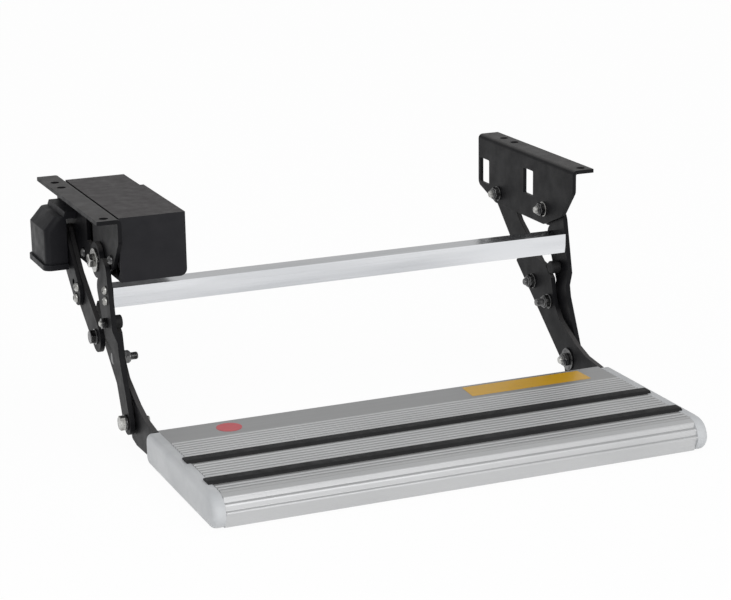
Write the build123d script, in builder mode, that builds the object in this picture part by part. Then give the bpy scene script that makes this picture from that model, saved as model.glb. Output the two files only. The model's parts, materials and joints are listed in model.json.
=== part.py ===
from build123d import *
import math
import os

os.makedirs("parts", exist_ok=True)

# Electrically folding entry step for a caravan, deployed.
# Millimetres. X runs along the tread, Y towards the back (under the floor), Z up.
# The origin is the centre of the four main floor holes, in the plane where the
# two brackets meet the floor.

# Floor fixing
hole_inset = 14.6        # inner face of a bracket's plate out to its line of holes
hole_span_y = 154.0      # front hole to first rear hole
extra_hole_pitch = 26.0  # first rear hole to second rear hole
floor_hole_d = 9.0

# Tread
step_length = 500.0      # over the end caps
cap_rim = 12.4           # width of a cap's rim seen from above
tread_depth = 198.6
tread_thickness = 31.0
tread_drop = 192.0       # floor plane to tread top
nose_reach = 355.5       # origin to the nose
tread_wall = 2.4

# Plates and the gaps between them, from the tread outwards
hanger_t = 5.0
hanger_gap = 1.0
plate_t = 4.0
arm_gap = 0.6
arm_t = 5.0
joggle = 4.0             # the front arms step inwards by this below the crossbar

# Linkage pivots in the side view (Y, Z)
rear_pivot = (88.0, -59.0)
front_pivot = (-22.0, -54.0)
lower_pivot = (-93.0, -202.0)
knee_pivot = (-10.0, -136.0)

# Fasteners
bolt_d = 8.0
bolt_clearance = 0.25    # radial, bolt in a fixed hole
pivot_clearance = 0.35   # radial, bolt in a turning hole
face_clearance = 0.3     # between faces that turn on each other
head_af = 13.0
head_h = 5.3
nut_h = 6.5
washer_d = 16.0
washer_t = 1.6
large_washer_d = 24.0
thread_stand_out = 3.0

# Planes across the step, all measured from its middle
hanger_in = step_length / 2 - cap_rim
hanger_out = hanger_in + hanger_t
plate_in = hanger_out + hanger_gap
plate_out = plate_in + plate_t
arm_in = plate_out + arm_gap
arm_out = arm_in + arm_t
low_arm_in = arm_in - joggle
low_arm_out = arm_out - joggle

tread_top = -tread_drop
tread_front = -nose_reach
tread_back = tread_front + tread_depth
bolt_r = bolt_d / 2


def side_point(start, end, along, across):
    """Point in the side view: along the line start to end, then square to it, forwards."""
    length = math.dist(start, end)
    uy = (end[0] - start[0]) / length
    uz = (end[1] - start[1]) / length
    return (start[0] + along * uy + across * uz, start[1] + along * uz - across * uy)


def side_plane(x):
    return Plane.YZ.offset(x)


def disc(x0, x1, centre, radius):
    """Cylinder across the step between two X planes, added to the part being built."""
    with BuildSketch(side_plane(min(x0, x1))) as face:
        with Locations(centre):
            Circle(radius)
    extrude(face.sketch, amount=abs(x1 - x0))


def ring(x0, x1, centre, radius, hole_radius):
    with BuildSketch(side_plane(min(x0, x1))) as face:
        with Locations(centre):
            Circle(radius)
            Circle(hole_radius, mode=Mode.SUBTRACT)
    extrude(face.sketch, amount=abs(x1 - x0))


def hexagon(x0, x1, centre, flats, hole_radius=0.0, turn=12.0):
    with BuildSketch(side_plane(min(x0, x1))) as face:
        with Locations(centre):
            RegularPolygon(flats / 2, 6, major_radius=False, rotation=turn)
            if hole_radius:
                Circle(hole_radius, mode=Mode.SUBTRACT)
    extrude(face.sketch, amount=abs(x1 - x0))


def mirror_to_left():
    mirror(about=Plane.YZ)


def save(piece, name):
    piece.part.label = name
    export_step(piece.part, f"parts/{name}.step")


# Mounting brackets: a plate with an outward flange along its top
flange_width = 24.5
flange_front = -87.5
flange_length = 226.0
bend_outer_r = 5.0
bend_inner_r = 1.5
pivot_edge = 16.8        # pivot centre down to the plate's lower edge
toe_depth = 24.0         # height of the short front edge
toe_length = 24.0
heel_depth = 57.0        # height of the rear edge
heel_run = 44.0          # rear edge to where the lower edge levels out
plate_corner_r = 7.0
window_width = 22.5
window_height = 28.0
rear_window = (122.5, -40.0)
front_window = (14.5, -31.5)
window_corner_r = 1.5

flange_back = flange_front + flange_length
plate_bottom = front_pivot[1] - pivot_edge
hole_front = -hole_span_y / 2
hole_rear = hole_span_y / 2
hole_x = plate_in + hole_inset

with BuildPart() as right_bracket:
    with BuildSketch(side_plane(plate_in)):
        with BuildLine():
            Polyline(
                (flange_back, 0),
                (flange_back, -heel_depth),
                (flange_back - heel_run, plate_bottom),
                (front_pivot[0], plate_bottom),
                (flange_front + toe_length, plate_bottom + pivot_edge),
                (flange_front, -toe_depth),
                (flange_front, 0),
                close=True,
            )
        plate_face = make_face()
        fillet(plate_face.vertices().group_by(Axis.Y)[:-1], plate_corner_r)
        with Locations(front_pivot, rear_pivot):
            Circle(bolt_r + bolt_clearance, mode=Mode.SUBTRACT)
        with Locations(rear_window, front_window):
            RectangleRounded(window_width, window_height, window_corner_r, mode=Mode.SUBTRACT)
    extrude(amount=plate_t)
    with BuildSketch(Plane.XY):
        with Locations((plate_in, flange_front)):
            Rectangle(flange_width, flange_length, align=(Align.MIN, Align.MIN))
        with Locations((hole_x, hole_front), (hole_x, hole_rear), (hole_x, hole_rear + extra_hole_pitch)):
            Circle(floor_hole_d / 2, mode=Mode.SUBTRACT)
    extrude(amount=-plate_t)
    long_edges = right_bracket.edges().filter_by(Axis.Y)
    outer_bend = long_edges.group_by(Axis.X)[0].sort_by(Axis.Z)[-1]
    fillet(outer_bend, bend_outer_r)
    long_edges = right_bracket.edges().filter_by(Axis.Y)
    inner_bend = long_edges.filter_by_position(Axis.X, plate_out, plate_out).sort_by(Axis.Z)[-1]
    fillet(inner_bend, bend_inner_r)
save(right_bracket, "right_bracket")

# The left bracket also carries the drive: a bush at the rear pivot and four fixings
shaft_d = 14.0
bush_d = 20.0
motor_bolt_d = 6.0
motor_bolt_places = [(40.5, -60.8), (-60.0, -46.0)]
case_screw_d = 4.0
case_screw_places = [(72.0, -26.5), (105.0, -26.5)]

with BuildPart() as left_bracket:
    mirror(right_bracket.part, about=Plane.YZ)
    with BuildSketch(side_plane(-plate_out)):
        with Locations(rear_pivot):
            Circle(bush_d / 2)
        with Locations(motor_bolt_places):
            Circle(motor_bolt_d / 2)
        with Locations(case_screw_places):
            Circle(case_screw_d / 2)
    extrude(amount=plate_t, mode=Mode.SUBTRACT)
save(left_bracket, "left_bracket")


# Front arms: hinged on the brackets, joggled inwards below the crossbar
front_arm_length = math.dist(front_pivot, lower_pivot)
front_head_r = 18.0
front_arm_half = 12.5
bulge_top_along = 18.0
bulge_top_across = 16.0
bulge_top_r = 15.5
bulge_low_along = 52.0
bulge_low_across = 7.5
bulge_low_r = 14.0
joggle_start = 76.0
joggle_run = 12.0
arm_straight_from = 30.0


def front_arm_point(along, across):
    return side_point(front_pivot, lower_pivot, along, across)


# Crossbar between the front arms: a tube with two screw ports
crossbar_depth = 22.0
crossbar_height = 20.0
crossbar_wall = 1.6
crossbar_front = -64.5
crossbar_drop = 29.0     # front pivot down to the crossbar's middle
port_r = 3.6
port_pitch = 11.0
port_hole_d = 4.2
port_setback = 11.0      # crossbar's front face to its screws
crossbar_screw_d = 5.0
crossbar_screw_head_d = 9.0
crossbar_screw_head_h = 3.2
crossbar_screw_length = 20.0

crossbar_z = front_pivot[1] - crossbar_drop
crossbar_y = crossbar_front + crossbar_depth / 2
port_y = crossbar_front + port_setback
port_places = [
    (port_y, crossbar_z + port_pitch / 2),
    (port_y, crossbar_z - port_pitch / 2),
]

# Rubber buffers on the front arms, which the tread hangers come to rest on
buffer_d = 13.6
buffer_length = 10.6
buffer_along = 64.0
buffer_stud_d = 6.0
buffer_nut_h = 5.0
buffer_nut_af = 10.0
buffer_place = front_arm_point(buffer_along, 0)

with BuildPart() as right_front_arm:
    with BuildSketch(side_plane(low_arm_in)):
        with BuildSketch(mode=Mode.PRIVATE) as shank:
            with Locations(front_arm_point(arm_straight_from, 0), lower_pivot):
                Circle(front_arm_half)
            make_hull()
        with BuildSketch(mode=Mode.PRIVATE) as bulge:
            with Locations(front_arm_point(bulge_top_along, bulge_top_across)):
                Circle(bulge_top_r)
            with Locations(front_arm_point(bulge_low_along, bulge_low_across)):
                Circle(bulge_low_r)
            with Locations(front_arm_point(front_arm_length * 0.6, 0)):
                Circle(front_arm_half)
            make_hull()
        with Locations(front_pivot):
            Circle(front_head_r)
        add(shank.sketch)
        add(bulge.sketch)
        with Locations(front_pivot, lower_pivot):
            Circle(bolt_r + pivot_clearance, mode=Mode.SUBTRACT)
        with Locations(port_places):
            Circle(crossbar_screw_d / 2 + bolt_clearance, mode=Mode.SUBTRACT)
        with Locations(buffer_place):
            Circle(buffer_stud_d / 2 + bolt_clearance, mode=Mode.SUBTRACT)
    extrude(amount=arm_t + joggle)
    # the bent strip that the flat outline is cut from, drawn along the arm
    arm_angle = math.degrees(math.atan2(front_pivot[1] - lower_pivot[1], front_pivot[0] - lower_pivot[0]))
    strip_plane = Plane(
        origin=(0, front_pivot[0], front_pivot[1]),
        x_dir=(1, 0, 0),
        z_dir=(0, -math.sin(math.radians(arm_angle)), math.cos(math.radians(arm_angle))),
    )
    strip_reach = 2 * front_head_r
    joggle_end = joggle_start + joggle_run
    arm_foot = front_arm_length + strip_reach
    with BuildSketch(strip_plane):
        with BuildLine():
            Polyline(
                (arm_in, strip_reach),
                (arm_in, -joggle_start),
                (low_arm_in, -joggle_end),
                (low_arm_in, -arm_foot),
                (low_arm_out, -arm_foot),
                (low_arm_out, -joggle_end),
                (arm_out, -joggle_start),
                (arm_out, strip_reach),
                close=True,
            )
        make_face()
    extrude(amount=2 * strip_reach, both=True, mode=Mode.INTERSECT)
save(right_front_arm, "right_front_arm")

with BuildPart() as left_front_arm:
    mirror(right_front_arm.part, about=Plane.YZ)
save(left_front_arm, "left_front_arm")

with BuildPart() as crossbar:
    with BuildSketch(side_plane(-arm_in)):
        with Locations((crossbar_y, crossbar_z)):
            Rectangle(crossbar_depth, crossbar_height)
            Rectangle(
                crossbar_depth - 2 * crossbar_wall,
                crossbar_height - 2 * crossbar_wall,
                mode=Mode.SUBTRACT,
            )
        with Locations(port_places):
            Circle(port_r)
        with Locations(port_places):
            Circle(port_hole_d / 2, mode=Mode.SUBTRACT)
    extrude(amount=2 * arm_in)
save(crossbar, "crossbar")

with BuildPart() as crossbar_screws:
    for place in port_places:
        disc(arm_out, arm_out + crossbar_screw_head_h, place, crossbar_screw_head_d / 2)
        disc(arm_in, arm_out, place, crossbar_screw_d / 2)
        disc(arm_in - crossbar_screw_length, arm_in, place, port_hole_d / 2)
    mirror_to_left()
save(crossbar_screws, "crossbar_screws")

with BuildPart() as stop_buffers:
    disc(arm_in - buffer_length, arm_in, buffer_place, buffer_d / 2)
    mirror_to_left()
save(stop_buffers, "stop_buffers")

with BuildPart() as buffer_studs:
    disc(arm_in, arm_out + buffer_nut_h + 2, buffer_place, buffer_stud_d / 2)
    mirror_to_left()
save(buffer_studs, "buffer_studs")

with BuildPart() as buffer_nuts:
    hexagon(arm_out, arm_out + buffer_nut_h, buffer_place, buffer_nut_af, buffer_stud_d / 2)
    mirror_to_left()
save(buffer_nuts, "buffer_nuts")


# Rear arms: from the brackets to the knee, slightly dog-legged
rear_head_r = 18.0
rear_elbow_r = 16.5
rear_foot_r = 16.0
elbow_along = 48.0
elbow_across = -6.0

rear_elbow = side_point(rear_pivot, knee_pivot, elbow_along, elbow_across)

with BuildPart() as right_rear_arm:
    with BuildSketch(side_plane(arm_in)):
        with BuildSketch(mode=Mode.PRIVATE) as upper_arm:
            with Locations(rear_pivot):
                Circle(rear_head_r)
            with Locations(rear_elbow):
                Circle(rear_elbow_r)
            make_hull()
        with BuildSketch(mode=Mode.PRIVATE) as lower_arm:
            with Locations(rear_elbow):
                Circle(rear_elbow_r)
            with Locations(knee_pivot):
                Circle(rear_foot_r)
            make_hull()
        add(upper_arm.sketch)
        add(lower_arm.sketch)
        with Locations(rear_pivot, knee_pivot):
            Circle(bolt_r + pivot_clearance, mode=Mode.SUBTRACT)
    extrude(amount=arm_t)
save(right_rear_arm, "right_rear_arm")

# Motor crank, bolted to the outside of the left rear arm
crank_t = 4.0
crank_head_r = 17.0
crank_foot_r = 14.0
crank_length = 62.0
crank_hole_d = 8.0
crank_hole_along = 50.0
crank_screw_d = 6.0
crank_screw_head_d = 10.0
crank_screw_head_h = 3.4
crank_screw_places = [
    side_point(rear_pivot, knee_pivot, crank_length, 2),
    side_point(rear_pivot, knee_pivot, crank_length + 4, -11),
]
crank_foot = side_point(rear_pivot, knee_pivot, crank_length, elbow_across)
crank_hole = side_point(rear_pivot, knee_pivot, crank_hole_along, elbow_across)
crank_out = arm_out + crank_t

with BuildPart() as left_rear_arm:
    mirror(right_rear_arm.part, about=Plane.YZ)
    with BuildSketch(side_plane(-arm_out)):
        with Locations(rear_pivot):
            Circle(shaft_d / 2 + bolt_clearance)
        with Locations(crank_screw_places):
            Circle(crank_screw_d / 2)
    extrude(amount=arm_t, mode=Mode.SUBTRACT)
save(left_rear_arm, "left_rear_arm")

with BuildPart() as drive_crank:
    with BuildSketch(side_plane(-crank_out)):
        with Locations(rear_pivot):
            Circle(crank_head_r)
        with Locations(crank_foot):
            Circle(crank_foot_r)
        make_hull()
        with Locations(rear_pivot):
            Circle(shaft_d / 2, mode=Mode.SUBTRACT)
        with Locations(crank_hole):
            Circle(crank_hole_d / 2, mode=Mode.SUBTRACT)
        with Locations(crank_screw_places):
            Circle(crank_screw_d / 2, mode=Mode.SUBTRACT)
    extrude(amount=crank_t)
save(drive_crank, "drive_crank")

with BuildPart() as crank_screws:
    for place in crank_screw_places:
        disc(-crank_out - crank_screw_head_h, -crank_out, place, crank_screw_head_d / 2)
        disc(-crank_out, -arm_in, place, crank_screw_d / 2)
save(crank_screws, "crank_screws")

with BuildPart() as knee_bolts:
    hexagon(arm_out + washer_t, arm_out + washer_t + head_h, knee_pivot, head_af)
    disc(arm_out, arm_out + washer_t, knee_pivot, washer_d / 2)
    disc(arm_in, arm_out, knee_pivot, bolt_r + pivot_clearance)
    mirror_to_left()
save(knee_bolts, "knee_bolts")


# Pivot bolts of the brackets, heads outboard and nuts inboard
arm_seat = arm_out + face_clearance
bracket_nut_in = plate_in - washer_t - nut_h
bracket_bolt_end = bracket_nut_in - thread_stand_out
front_washer_t = 2.0

with BuildPart() as front_pivot_bolts:
    hexagon(arm_seat + front_washer_t, arm_seat + front_washer_t + head_h, front_pivot, head_af)
    disc(bracket_bolt_end, arm_seat + front_washer_t, front_pivot, bolt_r)
    mirror_to_left()
save(front_pivot_bolts, "front_pivot_bolts")

with BuildPart() as front_pivot_washers:
    ring(arm_seat, arm_seat + front_washer_t, front_pivot, large_washer_d / 2, bolt_r)
    ring(plate_in - washer_t, plate_in, front_pivot, washer_d / 2, bolt_r)
    mirror_to_left()
save(front_pivot_washers, "front_pivot_washers")

with BuildPart() as front_pivot_nuts:
    hexagon(bracket_nut_in, plate_in - washer_t, front_pivot, head_af, bolt_r)
    mirror_to_left()
save(front_pivot_nuts, "front_pivot_nuts")

with BuildPart() as rear_pivot_bolt:
    hexagon(arm_seat + washer_t, arm_seat + washer_t + head_h, rear_pivot, head_af)
    disc(bracket_bolt_end, arm_seat + washer_t, rear_pivot, bolt_r)
save(rear_pivot_bolt, "rear_pivot_bolt")

with BuildPart() as rear_pivot_washers:
    ring(arm_seat, arm_seat + washer_t, rear_pivot, washer_d / 2, bolt_r)
    ring(plate_in - washer_t, plate_in, rear_pivot, washer_d / 2, bolt_r)
save(rear_pivot_washers, "rear_pivot_washers")

with BuildPart() as rear_pivot_nut:
    hexagon(bracket_nut_in, plate_in - washer_t, rear_pivot, head_af, bolt_r)
save(rear_pivot_nut, "rear_pivot_nut")



# Tread: a ribbed extrusion with a stepped bull nose and two rubber strips
rib_pitch = 4.75
rib_width = 2.2
rib_height = 0.9
plain_zone = 41.0        # smooth band along the back edge
strip_width = 15.3
strip_height = 2.6
strip_groove = 1.6
front_strip_setback = 36.0   # nose to the front edge of the strip
rear_strip_setback = 95.9
strip_overrun = 4.0      # the strips lap onto the caps by this
strip_edge_r = 1.4
nose_flat = 20.0         # nose to where the top becomes level
nose_steps = 3
nose_drop = 13.0         # height of the stepped slope
nose_lip = 1.8           # height of each step
nose_swell = 0.8         # the fascia's top edge stands out by this
nose_blend = 2.5
fascia_lean = 7.0        # bottom front edge behind the nose
tread_web = 2.4
tread_top_wall = 3.6
nose_wall = 12.0         # nose to the front chamber
web_places = (56.0, 102.0, 149.0)   # nose to the middle of each inner web
hanger_port_d = 5.0
hanger_port_r = 5.5
hanger_port_sink = 0.5       # the ports run into the profile's floor by this
hanger_port_places = (80.0, 132.0, 182.0)
tread_bottom_r = 3.0

tread_bottom = tread_top - tread_thickness
tread_half = hanger_in
step_run = nose_flat / nose_steps
hanger_port_y = [tread_front + place for place in hanger_port_places]
hanger_port_z = tread_bottom + tread_wall + hanger_port_r - hanger_port_sink


def nose_point(step):
    """Foot of each step: the slope is a quarter ellipse from the level top to the nose."""
    turn = math.radians(90 * step / nose_steps)
    return (tread_front + nose_flat * (1 - math.sin(turn)), tread_top - nose_drop * (1 - math.cos(turn)))


def tread_outline():
    points = [(tread_back, tread_top), (tread_front + nose_flat, tread_top)]
    for step in range(1, nose_steps + 1):
        y, z = nose_point(step)
        points.append((y, z + nose_lip))
        points.append((y, z))
    points.append((tread_front - nose_swell, tread_top - nose_drop - nose_blend))
    points.append((tread_front + fascia_lean, tread_bottom))
    points.append((tread_back, tread_bottom))
    return points


def rib_band(start, end):
    """Rib centres across a band of the top, start and end measured from the nose."""
    count = int((end - start) / rib_pitch)
    first = (start + end - (count - 1) * rib_pitch) / 2
    return [tread_front + first + n * rib_pitch for n in range(count)]


rib_places = rib_band(nose_flat, front_strip_setback)
rib_places += rib_band(front_strip_setback + strip_width, rear_strip_setback)
rib_places += rib_band(rear_strip_setback + strip_width, tread_depth - plain_zone)
strip_centres = [
    tread_front + front_strip_setback + strip_width / 2,
    tread_front + rear_strip_setback + strip_width / 2,
]


# hollow chambers of the extrusion, front to back, as pairs of Y values
chamber_walls = [tread_front + nose_wall]
for place in web_places:
    chamber_walls.append(tread_front + place - tread_web / 2)
    chamber_walls.append(tread_front + place + tread_web / 2)
chamber_walls.append(tread_back - tread_wall)
chamber_height = tread_thickness - tread_wall - tread_top_wall

with BuildPart() as tread_profile:
    with BuildSketch(side_plane(-tread_half)):
        with BuildLine():
            Polyline(*tread_outline(), close=True)
        section_face = make_face()
        fillet(section_face.vertices().group_by(Axis.Y)[0], tread_bottom_r)
        for start, end in zip(chamber_walls[::2], chamber_walls[1::2]):
            with Locations((start, tread_bottom + tread_wall)):
                Rectangle(end - start, chamber_height, align=(Align.MIN, Align.MIN), mode=Mode.SUBTRACT)
        with Locations([(y, hanger_port_z) for y in hanger_port_y]):
            Circle(hanger_port_r)
        with Locations([(y, hanger_port_z) for y in hanger_port_y]):
            Circle(hanger_port_d / 2, mode=Mode.SUBTRACT)
        with Locations([(y, tread_top) for y in rib_places]):
            Rectangle(rib_width, 2 * rib_height)
        with Locations([(y, tread_top) for y in strip_centres]):
            Rectangle(strip_width, 2 * strip_groove, mode=Mode.SUBTRACT)
    extrude(amount=2 * tread_half)
save(tread_profile, "tread_profile")


def grip_strip(centre_y):
    """Rubber strip in its groove, rounded along the top and lapping onto both caps."""
    half = tread_half + strip_overrun
    with BuildPart() as strip:
        with BuildSketch(side_plane(-half)):
            with Locations((centre_y, tread_top)):
                Rectangle(strip_width, strip_height, align=(Align.CENTER, Align.MIN))
        extrude(amount=2 * half)
        top_edges = strip.faces().sort_by(Axis.Z)[-1].edges()
        chamfer(top_edges, strip_edge_r)
        with BuildSketch(side_plane(-tread_half)):
            with Locations((centre_y, tread_top)):
                Rectangle(strip_width, strip_groove, align=(Align.CENTER, Align.MAX))
        extrude(amount=2 * tread_half)
    return strip


front_grip_strip = grip_strip(strip_centres[0])
save(front_grip_strip, "front_grip_strip")

rear_grip_strip = grip_strip(strip_centres[1])
save(rear_grip_strip, "rear_grip_strip")


# Tread hangers: plates between the profile's ends and the caps, up to the knee
hanger_length = math.dist(knee_pivot, lower_pivot)
hanger_rear = 14.0       # pivot line back to the plate's rear edge
hanger_top = 40.0        # knee up to the top of the plate
hanger_top_front = 6.0   # pivot line to the front corner at the top
hanger_brow = (-16.0, 24.0)      # front corner above the knee, along and across
hanger_waist = [(45.0, 21.0), (66.0, 17.0)]
hanger_neck = [(50.0, 11.0), (26.0, 3.0)]    # tread's back edge to the curve above it
hanger_heel = (6.0, -19.0)       # lower pivot to the rear lower corner
hanger_toe = 55.0        # tread's back edge to the front of the heel
hanger_tab_front = 150.0     # how far the foot reaches forward inside the tread's end
hanger_tab_inset = 3.0       # outline of the tread to the hanger's foot
hanger_tab_step = 4.0        # the foot's full height starts and ends this far from the edge
hanger_lip = 0.4             # tread top down to the hanger at the tread's back edge
hanger_belly = 1.0
hanger_corner_r = 6.0
hanger_heel_r = 14.0
hanger_curve_r = 12.0
hanger_hole_clearance = 0.25


def hanger_point(along, across):
    return side_point(knee_pivot, lower_pivot, along, across)


buffer_gap = 0.3
buffer_along_hanger = (
    (buffer_place[0] - knee_pivot[0]) * (lower_pivot[0] - knee_pivot[0])
    + (buffer_place[1] - knee_pivot[1]) * (lower_pivot[1] - knee_pivot[1])
) / hanger_length
buffer_off_hanger = math.sqrt(math.dist(buffer_place, knee_pivot) ** 2 - buffer_along_hanger**2)
stop_across = buffer_off_hanger - buffer_d / 2 - buffer_gap
stop_half = 9.0

# stop studs, whose sleeves meet the rear edges of the front arms
stop_along = 97.0
stop_sleeve_r = 6.0
stop_gap = 0.3
stop_stud_reach = 15.6   # hanger's inner face to the stud's end
stop_place = front_arm_point(stop_along, -(front_arm_half + stop_sleeve_r + stop_gap))

with BuildPart() as right_hanger:
    tab_top = tread_top - hanger_tab_inset
    tab_bottom = tread_bottom + hanger_tab_inset
    with BuildSketch(side_plane(hanger_in)):
        with BuildLine():
            Polyline(
                hanger_point(-hanger_top, -hanger_rear),
                hanger_point(-hanger_top, hanger_top_front),
                hanger_point(*hanger_brow),
                hanger_point(buffer_along_hanger - stop_half, stop_across),
                hanger_point(buffer_along_hanger + stop_half, stop_across),
                *[hanger_point(*place) for place in hanger_waist],
                *[(tread_back + y, tread_top + z) for y, z in hanger_neck],
                (tread_back - hanger_tab_step, tread_top - hanger_lip),
                (tread_back - hanger_tab_step, tab_top),
                (tread_back - hanger_tab_front, tab_top),
                (tread_back - hanger_tab_front, tab_bottom),
                (tread_back - hanger_tab_step, tab_bottom),
                (tread_back + hanger_tab_step, tread_bottom + hanger_belly),
                (tread_back + hanger_toe, tread_bottom - hanger_belly),
                (lower_pivot[0] + hanger_heel[0], lower_pivot[1] + hanger_heel[1]),
                hanger_point(hanger_length, -hanger_rear),
                close=True,
            )
        hanger_face = make_face()
        top_corners = hanger_face.vertices().sort_by(Axis.Y)[-2:]
        fillet(top_corners, hanger_corner_r)
        heel = Vector(lower_pivot[0] + hanger_heel[0], lower_pivot[1] + hanger_heel[1])
        fillet(hanger_face.vertices().sort_by_distance(heel)[0], hanger_heel_r)
        for place in hanger_waist + [hanger_brow]:
            corner = Vector(*hanger_point(*place))
            fillet(hanger_face.vertices().sort_by_distance(corner)[0], hanger_curve_r)
        with Locations(knee_pivot, lower_pivot, stop_place):
            Circle(bolt_r + bolt_clearance, mode=Mode.SUBTRACT)
        with Locations([(y, hanger_port_z) for y in hanger_port_y]):
            Circle(hanger_port_d / 2 + hanger_hole_clearance, mode=Mode.SUBTRACT)
    extrude(amount=hanger_t)
save(right_hanger, "right_hanger")

with BuildPart() as left_hanger:
    mirror(right_hanger.part, about=Plane.YZ)
save(left_hanger, "left_hanger")

hanger_screw_head_d = 9.0
hanger_screw_head_h = 1.8
hanger_screw_length = 16.0

with BuildPart() as hanger_screws:
    for y in hanger_port_y:
        disc(hanger_out, hanger_out + hanger_screw_head_h, (y, hanger_port_z), hanger_screw_head_d / 2)
        disc(hanger_in - hanger_screw_length, hanger_out, (y, hanger_port_z), hanger_port_d / 2)
    mirror_to_left()
save(hanger_screws, "hanger_screws")


# End caps: moulded covers over the hanger's foot and the profile's open ends
cap_wall = 3.0
cap_corner_r = 7.0
cap_edge_r = 5.5
cap_rim_wall = 2.4
cap_depth = step_length / 2 - hanger_in
cap_pocket_depth = cap_depth - cap_wall
cap_slot = 6.4           # the rear wall is cut away by this for the hanger
fascia_top = (tread_front - nose_swell, tread_top - nose_drop - nose_blend)

with BuildPart() as right_end_cap:
    with BuildSketch(side_plane(hanger_in)):
        with BuildLine():
            nose = Spline(
                nose_point(0),
                nose_point(1),
                nose_point(2),
                fascia_top,
                tangents=[(-1, 0), (nose_swell / nose_drop, -1)],
            )
            Polyline(
                nose @ 1,
                (tread_front + fascia_lean, tread_bottom),
                (tread_back, tread_bottom),
                (tread_back, tread_top),
                nose @ 0,
            )
        cap_face = make_face()
        fillet(cap_face.vertices().group_by(Axis.Y)[0], cap_corner_r)
    extrude(amount=cap_depth)
    fillet(right_end_cap.faces().sort_by(Axis.X)[-1].edges(), cap_edge_r)
    with BuildSketch(side_plane(hanger_in)):
        with Locations((tread_back + cap_rim_wall, tread_bottom + cap_rim_wall)):
            Rectangle(
                tread_depth - nose_wall + cap_rim_wall,
                tread_thickness - 2 * cap_rim_wall,
                align=(Align.MAX, Align.MIN),
            )
        with Locations((tread_back, (tread_top + tread_bottom) / 2)):
            Rectangle(2 * cap_slot, 2 * tread_thickness)
    extrude(amount=cap_pocket_depth, mode=Mode.SUBTRACT)
save(right_end_cap, "right_end_cap")

with BuildPart() as left_end_cap:
    mirror(right_end_cap.part, about=Plane.YZ)
save(left_end_cap, "left_end_cap")


# Lower pivots: long bolts with large washers, through the hangers and the arms' feet
lower_washer_t = 2.0
lower_seat = low_arm_out + face_clearance
lower_head = lower_seat + lower_washer_t
hanger_nut_in = hanger_in - washer_t - nut_h
lower_nut_in = hanger_in - lower_washer_t - nut_h

with BuildPart() as lower_pivot_bolts:
    hexagon(lower_head, lower_head + head_h, lower_pivot, head_af)
    disc(lower_nut_in - thread_stand_out, lower_head, lower_pivot, bolt_r)
    mirror_to_left()
save(lower_pivot_bolts, "lower_pivot_bolts")

with BuildPart() as lower_pivot_washers:
    ring(lower_seat, lower_head, lower_pivot, washer_d / 2, bolt_r)
    ring(hanger_out, low_arm_in - face_clearance, lower_pivot, washer_d / 2, bolt_r)
    ring(hanger_in - lower_washer_t, hanger_in, lower_pivot, large_washer_d / 2, bolt_r)
    mirror_to_left()
save(lower_pivot_washers, "lower_pivot_washers")

with BuildPart() as lower_pivot_nuts:
    hexagon(lower_nut_in, hanger_in - lower_washer_t, lower_pivot, head_af, bolt_r)
    mirror_to_left()
save(lower_pivot_nuts, "lower_pivot_nuts")

# Knee: the stud, spacer and nut that stay with the hanger
knee_split = 0.5
spacer_end = arm_in - knee_split

with BuildPart() as knee_studs:
    disc(hanger_nut_in - thread_stand_out, spacer_end, knee_pivot, bolt_r)
    mirror_to_left()
save(knee_studs, "knee_studs")

with BuildPart() as knee_spacers:
    ring(hanger_out, spacer_end, knee_pivot, washer_d / 2, bolt_r)
    mirror_to_left()
save(knee_spacers, "knee_spacers")

with BuildPart() as knee_nuts:
    ring(hanger_in - washer_t, hanger_in, knee_pivot, washer_d / 2, bolt_r)
    hexagon(hanger_nut_in, hanger_in - washer_t, knee_pivot, head_af, bolt_r)
    mirror_to_left()
save(knee_nuts, "knee_nuts")

# Stop studs on the hangers, whose sleeves meet the rear edges of the front arms
with BuildPart() as stop_studs:
    disc(hanger_out, spacer_end, stop_place, stop_sleeve_r)
    disc(hanger_in - stop_stud_reach, hanger_out, stop_place, bolt_r)
    mirror_to_left()
save(stop_studs, "stop_studs")

with BuildPart() as stop_nuts:
    ring(hanger_in - washer_t, hanger_in, stop_place, washer_d / 2, bolt_r)
    hexagon(hanger_nut_in, hanger_in - washer_t, stop_place, head_af, bolt_r)
    mirror_to_left()
save(stop_nuts, "stop_nuts")


# Drive: a gearmotor in a moulded cover inside the left bracket, and a gear case
# outside it that turns the left rear arm's crank
motor_cover_width = 67.0
motor_cover_step = 4.0       # the rear end is narrower by this
motor_cover_front = -78.0
motor_cover_length = 194.0
motor_step_back = 58.0       # length of the narrower rear end
motor_cover_height = 64.0
motor_cover_wall = 2.5
motor_cover_top = -1.0
motor_cover_r = 7.0
boss_d = 12.0
boss_length = 12.0

motor_out = -plate_in + motor_cover_width
motor_cover_back = motor_cover_front + motor_cover_length
motor_cover_bottom = motor_cover_top - motor_cover_height

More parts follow.
